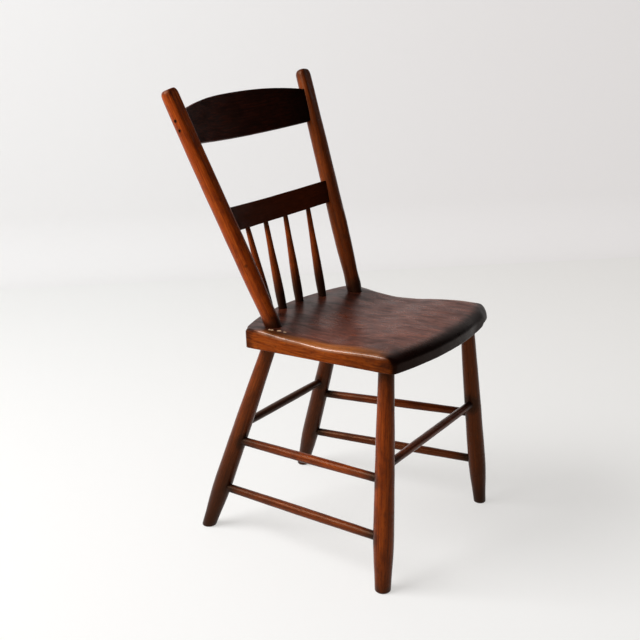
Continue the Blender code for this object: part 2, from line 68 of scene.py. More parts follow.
def smoothThrough(shares, steps):
    # a smooth curve through rows of numbers, the first number being the place along it
    rows = [shares[0], *shares, shares[-1]]
    points = []
    for index in range(1, len(rows) - 2):
        before, start, end, after = rows[index - 1:index + 3]
        for step in range(steps):
            t = step / steps
            points.append(tuple(
                0.5 * (2 * b + (c - a) * t + (2 * a - 5 * b + 4 * c - d) * t * t
                       + (3 * b - a - 3 * c + d) * t ** 3)
                for a, b, c, d in zip(before, start, end, after)
            ))
    points.append(shares[-1])
    return points


def readCurve(curve, place):
    # straight between the points of a curve already made smooth
    if place <= curve[0][0]:
        return curve[0][1:]
    for low, high in zip(curve, curve[1:]):
        if place <= high[0]:
            t = (place - low[0]) / max(high[0] - low[0], 1e-9)
            return tuple(a + (b - a) * t for a, b in zip(low[1:], high[1:]))
    return curve[-1][1:]


def ease(low, high, value):
    # 0 at the low end, 1 at the high end, and smooth between them
    t = min(max((value - low) / (high - low), 0), 1)
    return t * t * (3 - 2 * t)


def fade(low, high, value):
    return 1 - ease(low, high, value)


def softMin(a, b, blend):
    near = max(blend - abs(a - b), 0) / blend
    return min(a, b) - near * near * blend / 4


def arcRadius(halfWidth, bow):
    return (halfWidth ** 2 + bow ** 2) / (2 * bow)


def quarterRound(steps):
    return [step * math.pi / 2 / steps for step in range(steps + 1)]


def drawOut(name, rings, count):
    # a disc is drawn out ring by ring: rings are (radius, height)
    radius, height = rings[0]
    bpy.ops.mesh.primitive_circle_add(
        vertices=count, radius=radius, fill_type="NGON", location=(0, 0, height),
    )
    piece = nameIt(name)
    bpy.ops.object.transform_apply()
    openMesh()
    for (nowRadius, nowHeight), (nextRadius, nextHeight) in zip(rings, rings[1:]):
        bpy.ops.mesh.extrude_region_move(TRANSFORM_OT_translate={"value": (0, 0, nextHeight - nowHeight)})
        share = nextRadius / nowRadius
        bpy.ops.transform.resize(value=(share, share, 1), center_override=(0, 0, nextHeight))
    bpy.ops.mesh.select_all(action="SELECT")
    bpy.ops.mesh.normals_make_consistent()
    closeMesh()
    return piece


def place(piece, matrix):
    # moves the piece and bakes its place into its mesh
    pick(piece)
    piece.matrix_world = matrix
    bpy.ops.object.transform_apply()


def between(start, end):
    # a frame whose own Z runs from start to end
    return Matrix.Translation(start) @ (end - start).to_track_quat("Z", "Y").to_matrix().to_4x4()


def handMade(piece, depth, reach):
    # no two hand made parts are alike: a slow swelling of the surface
    clouds = bpy.data.textures.new(piece.name + "Unevenness", "CLOUDS")
    clouds.noise_scale = reach
    clouds.noise_depth = 1
    pick(piece)
    uneven = piece.modifiers.new("uneven", "DISPLACE")
    uneven.texture = clouds
    uneven.texture_coords = "GLOBAL"
    uneven.strength = depth
    bpy.ops.object.modifier_apply(modifier="uneven")


def finishPiece(piece, material, sharp=40):
    piece.data.materials.append(material)
    pick(piece)
    bpy.ops.object.shade_smooth_by_angle(angle=math.radians(sharp))
    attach(piece, "root")
    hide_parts(piece.name.replace("Wood", ""))


# Materials

def hexColour(text):
    values = [int(text[index:index + 2], 16) / 255 for index in (0, 2, 4)]
    return (*(v / 12.92 if v <= 0.04045 else ((v + 0.055) / 1.055) ** 2.4 for v in values), 1)


def fill(tree, node, settings=None, links=None):
    # settings: values of sockets or of the node itself; links: what goes into its sockets
    for key, value in (settings or {}).items():
        if isinstance(key, int) or key in node.inputs:
            node.inputs[key].default_value = value
        else:
            setattr(node, key, value)
    for key, source in (links or {}).items():
        tree.links.new(source, node.inputs[key])
    return node


def addNode(tree, kind, settings=None, links=None):
    return fill(tree, tree.nodes.new("ShaderNode" + kind), settings, links)


def mixColours(tree, factor, first, second, blend="MIX"):
    node = addNode(tree, "Mix", {"data_type": "RGBA", "blend_type": blend})
    for index, source in ((0, factor), (6, first), (7, second)):
        socket = node.inputs[index]
        if isinstance(source, str):
            socket.default_value = hexColour(source)
        elif isinstance(source, float):
            socket.default_value = source
        else:
            tree.links.new(source, socket)
    return node.outputs[2]


def ramp(tree, source, stops):
    # stops are (place, colour or grey)
    node = addNode(tree, "ValToRGB", None, {"Fac": source})
    elements = node.color_ramp.elements
    elements.remove(elements[0])
    for index, (position, value) in enumerate(stops):
        element = elements[0] if index == 0 else elements.new(position)
        element.position = position
        element.color = hexColour(value) if isinstance(value, str) else (value, value, value, 1)
    return node.outputs["Color"]


def maths(tree, operation, first, second, third=None):
    node = addNode(tree, "Math", {"operation": operation})
    for socket, value in zip(node.inputs, (first, second, third)):
        if isinstance(value, (int, float)):
            socket.default_value = value
        elif value is not None:
            tree.links.new(value, socket)
    return node.outputs[0]


def vectorMaths(tree, operation, source, vector):
    return addNode(tree, "VectorMath", {"operation": operation, 1: vector}, {0: source}).outputs["Value"]


def mapRange(tree, source, span, result=(0.0, 1.0), smooth=False):
    return addNode(tree, "MapRange", {
        "interpolation_type": "SMOOTHSTEP" if smooth else "LINEAR",
        "From Min": span[0], "From Max": span[1], "To Min": result[0], "To Max": result[1],
    }, {"Value": source}).outputs["Result"]


def newMaterial(name):
    material = bpy.data.materials.new(name)
    material.use_nodes = True
    tree = material.node_tree
    return material, tree, tree.nodes["Principled BSDF"], addNode(tree, "TexCoord").outputs["Object"]


# Colours, and pattern sizes in mm across and along the wood
# Turned parts: maple, stained walnut brown and shellacked, orange where hands rub, dark in every joint
turnedLook = {
    "light": "a94c15", "middle": "89370d", "dark": "4f1907", "deep": "200e08", "brown": "58301a",
    "grain": (2.6, 90), "lines": (7, 200), "stain": (15, 32), "ticks": (1.3, 7),
    "lineStrength": 0.28, "stainStrength": 0.7, "tickStrength": 0.52,
    "roughness": (0.17, 0.33), "mattness": 0.42, "bump": 0.1, "specular": 0.2, "sheen": "ffc79a",
}
# Rails: bent boards with a darker, thicker finish
railLook = {
    "light": "561e08", "middle": "3a1104", "dark": "200802", "deep": "0c0402", "brown": "6b2f14",
    "grain": (3.2, 70), "lines": (10, 240), "stain": (26, 60), "ticks": (1.3, 12),
    "lineStrength": 0.35, "stainStrength": 0.75, "tickStrength": 0.4,
    "roughness": (0.42, 0.58), "mattness": 0.6, "bump": 0.06, "specular": 0.035, "sheen": "ffc79a",
}
# Seat: one pine plank, grain from front to back, stained dark, worn pale along its side edges
seatLook = {
    "light": "934e34", "middle": "602b1c", "dark": "2f110a", "deep": "160705", "brown": "4a2c1c",
    "grain": (3.0, 52), "lines": (9, 260), "stain": (20, 52), "ticks": (1.7, 10),
    "lineStrength": 0.35, "stainStrength": 0.7, "tickStrength": 0.6,
    "roughness": (0.22, 0.4), "mattness": 0.42, "bump": 0.05, "specular": 0.09, "sheen": "ffa868",
    # the sides: place in the grain, and colour; the nose: dark stain, painted darker still as shade
    "side": ((0.3, "652a09"), (0.47, "883a0c"), (0.66, "9d4d14")), "roll": "120604", "chip": "d8b08a",
    "rubbed": "b8703c", "wornBright": "c07a3a", "brightShare": 0.4,
    # the left end of the nose is scuffed matt below: place, reach and how matt
    "mattPlace": (0.12, -0.245, 0.395), "mattReach": (0.03, 0.09), "mattEnd": 1.3,
}


# What all the woods share
pattern = {
    # detail, roughness and distortion of each noise, and the shift that keeps it apart from the others
    "grain": (6.0, 0.6, 0.3, 0), "lines": (1.0, 0.4, 0.0, 1), "stain": (4.0, 0.62, 0.5, 2),
    "ticks": (2.0, 0.5, 0.0, 3), "seedShift": (0.37, 0.61, 0.83),
    # places of the three colours in the grain, and place and grey of each mask's stops
    "grainStops": (0.28, 0.46, 0.68), "patchStops": ((0.46, 0.0), (0.68, 1.0)),
    "lineStops": ((0.03, 1.0), (0.16, 0.0)), "lineHere": ((0.4, 1.0), (0.62, 0.2)),
    "tickStops": ((0.6, 0.0), (0.7, 1.0)), "coatHere": ((0.4, 1.0), (0.62, 0.35)),
    "contours": 6.0, "lineDepth": 0.5, "dirtRagged": 0.1, "markCore": 0.4, "glossSpan": (0.35, 0.65),
    "bumpStrength": 0.5, "coat": {"Coat Roughness": 0.24, "Coat IOR": 1.8}, "ior": 1.5,
}


def makeWood(name, look, turn, centre, length, seed, brown=0.0, ends=((0.0, 0.0),), marks=(), dress=None):
    # stained, varnished wood: streaks and growth lines along the grain, stain patches, dirt at the ends
    material, tree, shader, coords = newMaterial(name)
    euler = turn.to_euler()

    def mapped(location, scale):
        return addNode(tree, "Mapping", {
            "vector_type": "TEXTURE", "Location": location, "Rotation": euler, "Scale": scale,
        }, {"Vector": coords}).outputs["Vector"]

    def noise(key):
        detail, roughness, distortion, shift = pattern[key]
        across, along = (value / 1000 for value in look[key])
        moved = centre + Vector(pattern["seedShift"]) * (seed + shift)
        vector = mapped(moved, (across, across, along))
        settings = {"Scale": 1.0, "Detail": detail, "Roughness": roughness, "Distortion": distortion}
        return addNode(tree, "TexNoise", settings, {"Vector": vector}).outputs["Fac"]

    def layer(colour, mask, strength, shade):
        return mixColours(tree, maths(tree, "MULTIPLY", mask, look[strength]), colour, look[shade])

    grain = noise("grain")
    stain = noise("stain")
    colour = ramp(tree, grain, zip(pattern["grainStops"], (look["dark"], look["middle"], look["light"])))
    patches = ramp(tree, stain, pattern["patchStops"])
    colour = layer(colour, patches, "stainStrength", "dark")
    matt = None
    if dress:
        colour, matt = dress(tree, grain, stain, colour)
    # growth lines: the contours of a slow noise, here and there
    slow = maths(tree, "MULTIPLY", noise("lines"), pattern["contours"])
    contour = maths(tree, "PINGPONG", slow, 0.5)
    here = ramp(tree, stain, pattern["lineHere"])
    lines = maths(tree, "MULTIPLY", ramp(tree, contour, pattern["lineStops"]), here)
    colour = layer(colour, lines, "lineStrength", "dark")
    ticks = ramp(tree, noise("ticks"), pattern["tickStops"])
    colour = layer(colour, ticks, "tickStrength", "deep")
    if brown:
        colour = mixColours(tree, brown, colour, look["brown"])
    # dirt: by the place along the piece, its border made ragged by the stain, and round each mark
    along = addNode(tree, "SeparateXYZ", None, {"Vector": mapped(centre, (1, 1, length))}).outputs["Z"]
    centred, share = maths(tree, "SUBTRACT", stain, 0.5), maths(tree, "ADD", along, 0.5)
    dirt = ramp(tree, maths(tree, "MULTIPLY_ADD", centred, pattern["dirtRagged"], share), ends)
    for point, radius, strength in marks:
        away = vectorMaths(tree, "DISTANCE", coords, point)
        spot = mapRange(tree, away, (radius * pattern["markCore"], radius), (strength, 0.0), smooth=True)
        dirt = maths(tree, "MAXIMUM", dirt, spot)
    colour = mixColours(tree, dirt, colour, look["deep"])

    # dirt is matt
    gloss = mapRange(tree, stain, pattern["glossSpan"], look["roughness"])
    roughness = maths(tree, "MAXIMUM", gloss, maths(tree, "MULTIPLY", matt or dirt, look["mattness"]))
    sunk = maths(tree, "ADD", ticks, maths(tree, "MULTIPLY", lines, pattern["lineDepth"]))
    height = maths(tree, "SUBTRACT", grain, sunk)
    settings = {"Strength": pattern["bumpStrength"], "Distance": look["bump"] / 1000}
    bump = addNode(tree, "Bump", settings, {"Height": height})
    fill(tree, shader, {
        "IOR": pattern["ior"], "Specular IOR Level": look["specular"],
        "Specular Tint": hexColour(look["sheen"]),
    }, {"Base Color": colour, "Roughness": roughness, "Normal": bump.outputs["Normal"]})
    if dress:
        # the rubbed arris is the glossiest place of the plank
        polish = addNode(tree, "Attribute", {"attribute_name": "edge"}).outputs["Fac"]
        coat = maths(tree, "MULTIPLY", polish, ramp(tree, stain, pattern["coatHere"]))
        fill(tree, shader, pattern["coat"], {"Coat Weight": coat})
    return material


# Turned rods: legs, stretchers and spindles

def turnRod(name, rings, own, start, end):
    rod = drawOut(name + "Wood", rings, own["sides"])
    place(rod, between(start, end))
    handMade(rod, *own["uneven"])
    return rod


def dressRod(rod, woodName, start, end, seed, brown, dirt, marks=()):
    turn = (end - start).to_track_quat("Z", "Y")
    middle, length = start.lerp(end, 0.5), (end - start).length
    wood = makeWood(woodName, turnedLook, turn, middle, length, seed, brown, dirt, marks)
    finishPiece(rod, wood)


# Seat

seat = {
    "underside": 0.3967, "slope": 2.3, "thickness": 0.0365,
    "frontWidth": 0.392, "rearWidth": 0.366, "frontY": -0.2221, "sideLength": 0.3137,
    "frontBow": 0.0273, "rearBow": 0.0366,
    # radius and number of steps of each corner
    "frontRight": (0.013, 14), "frontLeft": (0.037, 18), "rear": (0.0065, 10),
    "noseDepth": 0.024, "noseDrop": 0.019, "noseHeight": 0.0315, "noseProud": 0.0012,
    "arris": 0.0024, "lowerArris": 0.0018,
    # place from front to rear, thickness at the right and the left
    "saddle": (
        (-0.2, 0.89, 0.9), (0.04, 0.902, 0.905), (0.17, 0.9, 0.93), (0.265, 0.87, 0.908),
        (0.365, 0.83, 0.845), (0.45, 0.808, 0.768), (0.53, 0.838, 0.737), (0.62, 0.896, 0.726),
        (0.7, 0.94, 0.79), (0.785, 0.99, 0.885), (0.87, 1.015, 0.94), (1.0, 0.99, 0.915), (1.3, 0.95, 0.87),
    ),
    # place from the middle to the side, and how far the worn top drops
    "crown": (
        (-1.1, 0.31), (-1.0, 0.13), (-0.96, 0.062), (-0.92, 0.024), (-0.87, 0.006), (-0.82, 0.0), (0.0, 0.0),
        (0.82, 0.0), (0.87, 0.012), (0.92, 0.048), (0.96, 0.12), (1.0, 0.22), (1.1, 0.5),
    ),
    "crownFade": (0.74, 0.96), "topBlend": 0.0015,
    # the plank has dropped a little towards its front: by how much, and between which y
    "frontDrop": 0.002, "dropSpan": (0.1, -0.2),
    # arris of the corners: place, how much rounder, and over what distance; the core is wholly so
    "cornerWear": (
        (-0.196, -0.222, 0.0034, 0.014), (0.177, -0.226, 0.0095, 0.05), (-0.181, 0.091, 0.0045, 0.02),
        (0.181, 0.091, 0.002, 0.012),
    ),
    "wearCore": 0.3,
    # how much rounder the left front corner is below, and the largest rounded shares of the edge
    "lowerCornerWear": 0.014, "arrisShare": 0.6, "lowerShare": 0.9,
    # where the top and sides are darkened: place, radius and strength
    "dirt": (
        # round the feet of the posts and spindles: dirt in the joints, with painted shade and painted
        # reflection of the back
        (-0.1466, 0.0541, 0.034, 0.9), (0.1466, 0.0541, 0.034, 0.9), (-0.0884, 0.0965, 0.024, 0.9),
        (0.0854, 0.0949, 0.026, 0.95), (-0.0298, 0.1132, 0.024, 0.9), (0.0298, 0.1132, 0.024, 0.9),
        # painted shade where the right side turns into the nose, a darker right rear corner and left front
        # corner, and a painted shadow beside the right post
        (-0.196, -0.222, 0.058, 0.95), (-0.196, -0.21, 0.11, 0.55), (-0.181, 0.091, 0.022, 0.7),
        (0.19, -0.222, 0.045, 0.75), (-0.12, 0.05, 0.05, 0.5),
    ),
    "dirtCore": 0.35,
    # how much painted shade and painted reflection of the dark back darken the rear of the top, and over
    # which shares of the length this grows
    "rearDirt": 0.75, "rearSpan": (0.5, 0.8),
    # pale chips beside the right post: place, radius, and how ragged they are
    "chips": (
        (-0.1652, 0.0299, 0.0042), (-0.1661, 0.0173, 0.003), (-0.1681, 0.0432, 0.0028),
        (-0.1687, 0.0482, 0.0026),
    ),
    "chipRagged": 0.014,
    # the worn band along the sides: its width in front, what it loses to the rear, and where it ends
    "band": (0.0245, 0.0105), "bandSpan": (0.1, 0.9), "bandFade": (0.55, 1.3), "bandLeft": 0.6,
    "rearEnd": (0.84, 0.95), "frontEnd": (0.03, 0.13),
    # metres from the edge over which the colours of the side, the arris and the nose fade
    "sideFade": (0, 0.002), "noseFade": (0.003, 0.007), "edgeFade": (0.003, 0.006),
    "rollFade": (0.008, 0.034),
    # steps along both bowed edges for the corners, then along the front, the rear and each side
    "edgeSteps": (18, 110, 100, 60), "cornerGap": 0.0015,
    # the spot that the rings of the mesh close in on, and how far it usually is from the edge
    "middle": (0.0, -0.061), "reach": 0.19, "uneven": (0.0006, 0.05), "centre": (0, -0.06, 0.41),
    # the rings: shares of the way to the middle below, steps up the side, mm from the edge on top
    "lowerSteps": 4, "wallSteps": 8,
    "underShares": (0.975, 0.9, 0.78, 0.62, 0.46, 0.3, 0.18, 0.09, 0.04, 0.015),
    "ringOffsets": (
        0, 0.12, 0.4, 0.85, 1.4, 2.1, 3, 4.1, 5.4, 7, 8.8, 11, 13.5, 16.5, 20, 24, 28, 33, 39, 46, 54, 63, 73,
        84, 96, 109, 123, 138, 153, 167, 178, 185,
    ),
}

seatSlope = math.radians(seat["slope"])
seatPlace = Matrix.Translation((0, 0, seat["underside"])) @ Matrix.Rotation(-seatSlope, 4, "X")
saddleCurve = smoothThrough(seat["saddle"], 8)
crownCurve = smoothThrough(seat["crown"], 6)
noseRadius = arcRadius(seat["frontWidth"] / 2, seat["frontBow"])


def undersideHeight(y):
    return seat["underside"] - y * math.tan(seatSlope)


def rearTopHeight(y):
    return undersideHeight(y) + seat["thickness"] / math.cos(seatSlope)


def seatHalfWidth(y):
    share = (y - seat["frontY"]) / seat["sideLength"]
    return (seat["frontWidth"] + (seat["rearWidth"] - seat["frontWidth"]) * share) / 2


def bowedEdge(halfWidth, y, bow, steps):
    radius = arcRadius(halfWidth, abs(bow))
    reach = math.asin(halfWidth / radius)
    bend = math.copysign(radius, bow)
    turns = [reach * (2 * step / steps - 1) for step in range(steps + 1)]
    return [Vector((radius * math.sin(turn), y + bow - bend * (1 - math.cos(turn)))) for turn in turns]


def roundedCorner(before, corner, after, radius, steps):
    toBefore = (before - corner).normalized()
    toAfter = (after - corner).normalized()
    half = toBefore.angle(toAfter) / 2
    centre = corner + (toBefore + toAfter).normalized() * (radius / math.sin(half))
    reach = radius / math.tan(half)
    first = corner + toBefore * reach - centre
    turn = first.angle_signed(corner + toAfter * reach - centre)
    return [centre + Matrix.Rotation(-turn * step / steps, 2) @ first for step in range(steps + 1)]


def seatOutline():
    # corners, and the bowed or straight edges filled in between them
    frontEdge = (seat["frontWidth"] / 2, seat["frontY"], -seat["frontBow"])
    rearEdge = (seat["rearWidth"] / 2, seat["frontY"] + seat["sideLength"], seat["rearBow"])
    coarse, fineFront, fineRear, fineSide = seat["edgeSteps"]
    front, rear = bowedEdge(*frontEdge, coarse), bowedEdge(*rearEdge, coarse)[::-1]
    frontRight = roundedCorner(rear[-1], front[0], front[1], *seat["frontRight"])
    frontLeft = roundedCorner(front[-2], front[-1], rear[0], *seat["frontLeft"])
    rearLeft = roundedCorner(front[-1], rear[0], rear[1], *seat["rear"])
    rearRight = roundedCorner(rear[-2], rear[-1], front[0], *seat["rear"])

    def inside(points, low, high):
        return [p for p in points if low.x + seat["cornerGap"] < p.x < high.x - seat["cornerGap"]]

    def straight(start, end):
        return [start.lerp(end, step / fineSide) for step in range(1, fineSide)]

    return [
        *frontRight, *inside(bowedEdge(*frontEdge, fineFront), frontRight[-1], frontLeft[0]),
        *frontLeft, *straight(frontLeft[-1], rearLeft[0]),
        *rearLeft, *inside(bowedEdge(*rearEdge, fineRear)[::-1], rearRight[0], rearLeft[-1]),
        *rearRight, *straight(rearRight[-1], frontRight[0]),
    ]


def noseHeightAt(x, y):
    centreY = seat["frontY"] - seat["frontBow"] + noseRadius
    inset = noseRadius + seat["noseProud"] - math.hypot(x, y - centreY)
    depth = seat["noseDepth"]
    if inset >= depth:
        return seat["noseHeight"] + (inset - depth) * seat["thickness"] / (noseRadius - depth), inset
    roll = math.sqrt(max(1 - ((depth - max(inset, 0)) / depth) ** 2, 0))
    return seat["noseHeight"] - seat["noseDrop"] * (1 - roll), inset


def seatTopAt(x, y):
    share = (y - seat["frontY"]) / seat["sideLength"]
    right, left = readCurve(saddleCurve, share)
    across = x / seatHalfWidth(y)
    drop = readCurve(crownCurve, min(max(across, -1.1), 1.1))[0] * fade(*seat["crownFade"], share)
    top = (right + (left - right) * (across + 1) / 2 - drop) * seat["thickness"]
    nose, inset = noseHeightAt(x, y)
    return softMin(top, nose, seat["topBlend"]), inset


def nearTo(spot, x, y, reach, core):
    # 1 in the core of a round place, and 0 beyond its reach
    return fade(reach * core, reach, (spot - Vector((x, y))).length)


def seatMasks(spot, kind, inset):
    # where the finish is worn or orange, where the nose is dark with stain and painted shade, and where dirt
    # and painted shade darken it
    sideInset = seatHalfWidth(spot.y) - abs(spot.x)
    length = (spot.y - seat["frontY"]) / seat["sideLength"]
    onTop = float(kind == "top")
    ends = fade(*seat["rearEnd"], length) * ease(*seat["frontEnd"], length)
    width, loss = seat["band"]
    band = width - loss * ease(*seat["bandSpan"], length)
    near, far = (band * share for share in seat["bandFade"])
    side = 1.0 if kind in ("wall", "low") else onTop * fade(*seat["sideFade"], sideInset)
    # painted shade and painted reflection of the dark back, growing towards the rear of the top
    rear = seat["rearDirt"] * ease(*seat["rearSpan"], length) * onTop
    return {
        "worn": onTop * fade(near, far, sideInset) * ends * (1 if spot.x < 0 else seat["bandLeft"]),
        "side": side * ease(*seat["noseFade"], inset),
        # the nose: dark stain with painted shade
        "roll": fade(*seat["rollFade"], inset),
        # dirt in the joints and painted shade, from the table of spots
        "dirt": max(rear, *(
            strength * nearTo(spot, x, y, radius, seat["dirtCore"]) for x, y, radius, strength in seat["dirt"]
        )),
        "edge": onTop * fade(*seat["edgeFade"], sideInset) * ends,
    }


def makeSeat():
    outline = seatOutline()
    count = len(outline)
    middle = Vector(seat["middle"])
    reaches = []
    for index, point in enumerate(outline):
        along = (outline[(index + 1) % count] - outline[index - 1]).normalized()
        reaches.append(abs(along.cross(middle - point)))
    arrises, lowers = [], []
    core = seat["wearCore"]
    for point in outline:
        wear = [(extra, nearTo(point, x, y, reach, core)) for x, y, extra, reach in seat["cornerWear"]]
        arrises.append(seat["arris"] + sum(extra * share for extra, share in wear))
        lowers.append(seat["lowerArris"] + seat["lowerCornerWear"] * wear[1][1])
    # neither rounding may eat up the thin edge between them
    tops = [seatTopAt(*point)[0] for point in outline]
    arrises = [min(arris, seat["arrisShare"] * top) for arris, top in zip(arrises, tops)]
    lowers = [min(low, seat["lowerShare"] * (top - arris)) for low, top, arris in zip(lowers, tops, arrises)]
    stations = [("under", share, 0) for share in seat["underShares"]]
    for angle in quarterRound(seat["lowerSteps"]):
        stations.append(("low", (1 - math.sin(angle)) / seat["reach"], 1 - math.cos(angle)))
    stations += [("wall", step / seat["wallSteps"], 0) for step in range(1, seat["wallSteps"])]
    stations += [("top", offset / 1000 / seat["reach"], 0) for offset in seat["ringOffsets"]]
    # the raw disc: one ring for each station, each at its own height to tell them apart
    radius, rise = 0.2, 0.004
    plank = drawOut("seatWood", [(radius, index * rise) for index in range(len(stations))], count)
    masks = []
    for vertex in plank.data.vertices:
        ring = round(vertex.co.z / rise)
        index = round(math.atan2(vertex.co.y, vertex.co.x) / math.tau * count) % count
        kind, share, height = stations[ring]
        point, lower, arris = outline[index], lowers[index], arrises[index]
        if kind == "low":
            share *= lower
        spot = point if kind == "wall" else point.lerp(middle, share)
        top, inset = seatTopAt(*spot)
        if kind == "wall":
            z = lower + (tops[index] - arris - lower) * share
        elif kind == "top":
            away = min(reaches[index] * share / arris, 1)
            z = top - arris * (1 - math.sqrt(1 - (1 - away) ** 2))
        else:
            z = height * lower
        masks.append(seatMasks(spot, kind, inset))
        z -= seat["frontDrop"] * ease(*seat["dropSpan"], spot.y)
        vertex.co = seatPlace @ Vector((spot.x, spot.y, z))
    for name in masks[0]:
        attribute = plank.data.attributes.new(name, "FLOAT", "POINT")
        attribute.data.foreach_set("value", [mask[name] for mask in masks])
    pick(plank)
    openMesh()
    bpy.ops.mesh.normals_make_consistent()
    closeMesh()
    handMade(plank, *seat["uneven"])
    return plank


def dressSeat(tree, grain, stain, colour):
    # the side faces and the worn edges keep the orange of the old finish; the nose is dark with stain and
    # painted shade, and the joints are dark with dirt and painted shade
    look = seatLook
    masks = {name: addNode(tree, "Attribute", {"attribute_name": name}).outputs["Fac"]
             for name in ("worn", "side", "roll", "dirt", "edge")}
    orange = ramp(tree, grain, look["side"])
    bright = mixColours(tree, look["brightShare"], orange, look["wornBright"])
    # the nose: dark stain, painted darker still as shade where it faces away from the light
    colour = mixColours(tree, masks["roll"], colour, look["roll"])
    # each mask, the span of the stain that breaks it up, its strength at both ends, and its colour
    layers = (
        ("side", (0.44, 0.66), (0.95, 0.6), orange),
        ("worn", (0.44, 0.66), (0.95, 0.6), bright),
        # dirt in the joints, with painted shade and painted reflection at the rear and round the feet
        ("dirt", (0.35, 0.6), (0.55, 1.0), look["deep"]),
        ("edge", (0.4, 0.62), (0.6, 0.2), look["rubbed"]),
    )
    for name, span, strength, shade in layers:
        broken = mapRange(tree, stain, span, strength)
        colour = mixColours(tree, maths(tree, "MULTIPLY", masks[name], broken), colour, shade)
    coords = addNode(tree, "TexCoord").outputs["Object"]
    ragged = seat["chipRagged"]
    for x, y, radius in seat["chips"]:
        away = vectorMaths(tree, "DISTANCE", coords, (x, y, rearTopHeight(y) - 0.001))
        border = maths(tree, "MULTIPLY_ADD", grain, ragged, away)
        span = (radius / 2 + ragged / 2, radius + ragged / 2)
        bare = mapRange(tree, border, span, (0.9, 0.0))
        colour = mixColours(tree, bare, colour, look["chip"])
    away = vectorMaths(tree, "DISTANCE", coords, look["mattPlace"])
    scuffed = mapRange(tree, away, look["mattReach"], (look["mattEnd"], 0.0))
    return colour, maths(tree, "MAXIMUM", masks["dirt"], scuffed)


plank = makeSeat()
turn = Matrix.Rotation(math.radians(90), 3, "X")
wood = makeWood("stainedPinePlank", seatLook, turn, Vector(seat["centre"]), 1, 0.3, dress=dressSeat)
finishPiece(plank, wood, 50)


# Legs

legs = {
    # foot and head of each axis: half spread and y
    "front": {"foot": (0.208, -0.2159), "head": (0.1615, -0.1897)},
    "rear": {"foot": (0.1724, 0.1985), "head": (0.1225, 0.0763)},
    "swell": 0.0175, "neck": 0.0132, "socket": 0.02, "footAllowance": 0.012, "footArris": 0.0034,
    # place up the leg, and radius between the foot or neck and the swell
    "lower": ((0.0, 0.08), (0.075, 0.37), (0.15, 0.77), (0.24, 1.0)),
    "upper": ((0.42, 0.87), (0.56, 0.74), (0.68, 0.57), (0.8, 0.36), (0.91, 0.14), (1.0, 0.0)),
    # dirt gathered round each stretcher: reach and strength
    "jointDirt": (0.033, 0.88),
    "sides": 64, "uneven": (0.0007, 0.045),
}

# each leg by itself: its foot stands a little aside, and its dirt is place up the leg and darkness
ownLegs = {
    "frontRight": {
        "girth": 1.065, "footRadius": 0.014, "aside": 0.0005, "brown": 0.05,
        "dirt": (
            (0.0, 0.85), (0.02, 0.6), (0.07, 0.42), (0.16, 0.3), (0.24, 0.18), (0.36, 0.1), (0.8, 0.1),
            (0.93, 0.55), (1.0, 0.9),
        ),
    },
    "frontLeft": {
        "girth": 1.0, "footRadius": 0.0115, "aside": -0.0014, "brown": 0.4,
        "dirt": ((0.0, 0.98), (0.07, 0.88), (0.16, 0.66), (0.35, 0.4), (0.9, 0.25), (1.0, 0.7)),
    },
    "rearRight": {
        "girth": 1.03, "footRadius": 0.0129, "aside": -0.0005, "brown": 0.4,
        "dirt": ((0.0, 0.95), (0.1, 0.86), (0.28, 0.75), (0.42, 0.55), (0.65, 0.25), (0.9, 0.08), (1.0, 0.7)),
    },
    "rearLeft": {
        "girth": 1.01, "footRadius": 0.0122, "aside": -0.0014, "brown": 0.35,
        "dirt": ((0.0, 0.9), (0.2, 0.75), (0.5, 0.68), (0.9, 0.65), (1.0, 0.9)),
    },
}

stretchers = {
    # height at the front leg and at the rear leg, and how much higher the left ones are
    "upper": (0.2023, 0.1876), "lower": (0.0963, 0.0873),
    "rise": {"upper": (-0.0002, 0.0002), "lower": (0.0016, 0.0018)},
    "front": 0.2253, "rear": 0.2195,
    "sideRadius": {"right": 0.0087, "left": 0.0085}, "crossRadius": 0.008, "endGap": 0.002,
    # place along the rod, and girth
    "shape": ((0.0, 0.93), (0.12, 0.95), (0.3, 1.0), (0.5, 1.02), (0.7, 1.0), (0.88, 0.95), (1.0, 0.93)),
    # side rods are dirtier towards the rear, and brown wood is dirty all along
    "sideDirt": (
        (0.0, 1.0), (0.05, 1.0), (0.09, 0.7), (0.14, 0.3), (0.25, 0.1), (0.5, 0.16), (0.7, 0.4), (0.85, 0.6),
        (0.93, 1.0), (1.0, 1.0),
    ),
    "crossDirt": (
        (0.0, 1.0), (0.06, 1.0), (0.1, 0.72), (0.16, 0.3), (0.25, 0.1), (0.75, 0.1), (0.84, 0.3), (0.9, 0.72),
        (0.94, 1.0), (1.0, 1.0),
    ),
    "brownDirt": 0.7,
    # how brown and dull the upper and the lower side rod are, and each cross rod
    "brown": {"right": (0.1, 0.3), "left": (0.22, 0.5)}, "crossBrown": {"front": 0.35, "rear": 0.95},
    "sides": 40, "uneven": (0.0006, 0.04),
}


def legAxis(end, sideName):
    side, aside = sides[sideName], ownLegs[end + sideName.title()]["aside"]
    footX, footY = legs[end]["foot"]
    headX, headY = legs[end]["head"]
    return Vector((side * footX + aside, footY, 0)), Vector((side * headX, headY, undersideHeight(headY)))


def onLeg(end, sideName, height):
    foot, head = legAxis(end, sideName)
    return foot.lerp(head, height / head.z)


